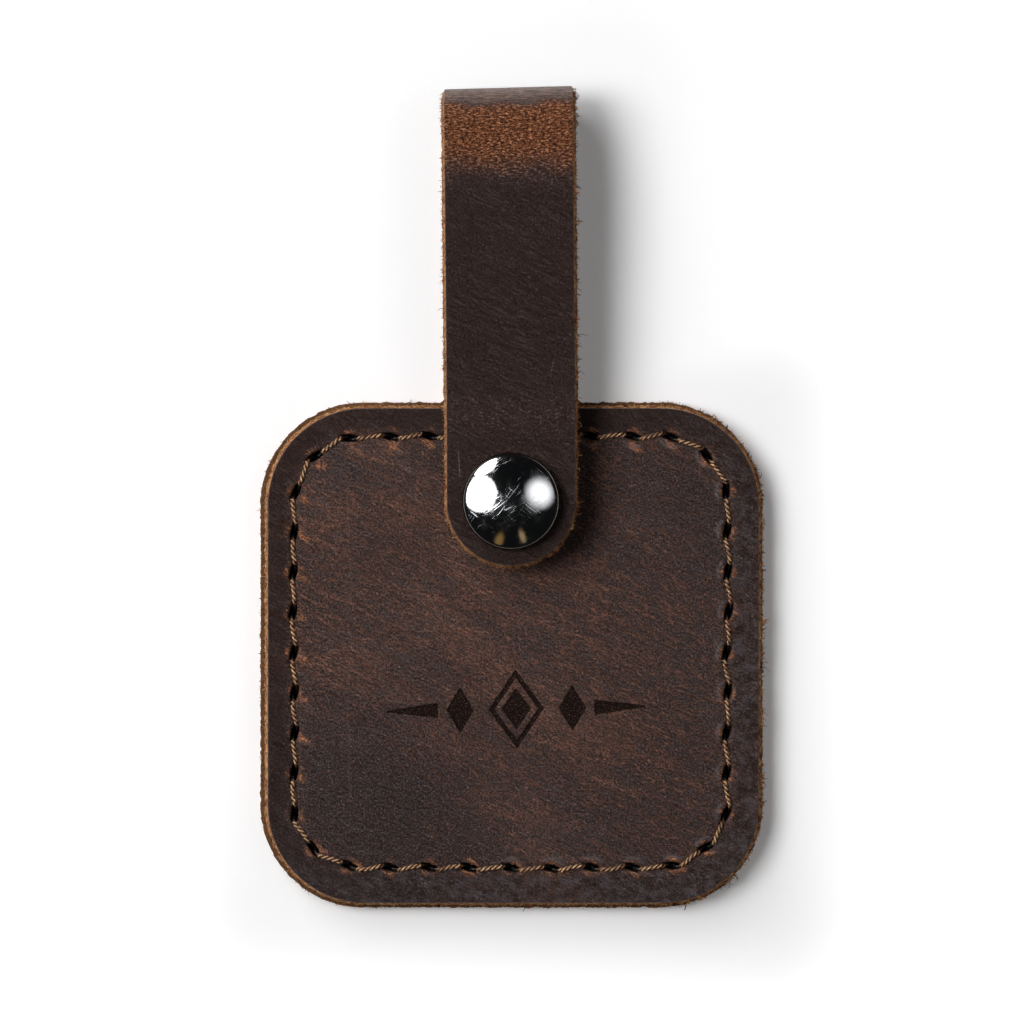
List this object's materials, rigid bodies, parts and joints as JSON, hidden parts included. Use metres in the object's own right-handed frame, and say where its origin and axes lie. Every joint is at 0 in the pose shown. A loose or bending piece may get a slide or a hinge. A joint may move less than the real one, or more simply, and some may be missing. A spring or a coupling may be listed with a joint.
{
  "type": "luggage tag",
  "caption": "Square leather luggage tag with round corners, sewn round its edge, and a folded strap that closes with a domed press stud.",
  "frame": {"origin": "under the middle of the whole object, on the surface that its back lies on", "axes": "+Z out of the front of the tag, +Y from the tag towards the fold of the strap, +X to the right seen from the front"},
  "size_m": [0.0636, 0.1036, 0.0122],
  "materials": {
    "leather": "distressed, waxed, dull",
    "thread": "twisted waxed thread",
    "chrome": "mirror polish",
    "steel": "plain plated",
    "spring_wire": "drawn wire"
  },
  "bodies": {
    "tag": {"front_panel": "leather", "back_panel": "leather", "saddle_thread_first": "thread", "saddle_thread_second": "thread", "snap_post": "steel", "snap_stud": "steel"},
    "strap_rear": {"strap_rear_leg": "leather"},
    "fold_1": {"strap_fold_1": "leather"},
    "fold_2": {"strap_fold_2": "leather"},
    "fold_3": {"strap_fold_3": "leather"},
    "fold_4": {"strap_fold_4": "leather"},
    "strap_front": {"strap_front_leg": "leather", "cap_shell": "chrome", "cap_rivet": "steel", "snap_socket": "steel", "snap_spring": "spring_wire"}
  },
  "joints": [
    {"name": "strap_root_flex", "type": "hinge", "parent": "tag", "child": "strap_rear", "pos_m": [0, 0.01375, 0], "axis": [-1, 0, 0], "range_deg": [0, 75]},
    {"name": "strap_open", "type": "hinge", "parent": "strap_rear", "child": "fold_1", "pos_m": [0, 0.04819, 0.00026], "axis": [-1, 0, 0], "range_deg": [0, 33]},
    {"name": "fold_flex_2", "type": "hinge", "parent": "fold_1", "child": "fold_2", "pos_m": [0, 0.05084, 0.00218], "axis": [-1, 0, 0], "range_deg": [0, 33]},
    {"name": "fold_flex_3", "type": "hinge", "parent": "fold_2", "child": "fold_3", "pos_m": [0, 0.05185, 0.0053], "axis": [-1, 0, 0], "range_deg": [0, 33]},
    {"name": "fold_flex_4", "type": "hinge", "parent": "fold_3", "child": "fold_4", "pos_m": [0, 0.05084, 0.00842], "axis": [-1, 0, 0], "range_deg": [0, 33]},
    {"name": "fold_flex_5", "type": "hinge", "parent": "fold_4", "child": "strap_front", "pos_m": [0, 0.04819, 0.01034], "axis": [-1, 0, 0], "range_deg": [0, 33]}
  ],
  "couplings": [
    {"joint": "fold_flex_2", "follows": "strap_open", "ratio": 1},
    {"joint": "fold_flex_3", "follows": "strap_open", "ratio": 1},
    {"joint": "fold_flex_4", "follows": "strap_open", "ratio": 1},
    {"joint": "fold_flex_5", "follows": "strap_open", "ratio": 1}
  ]
}
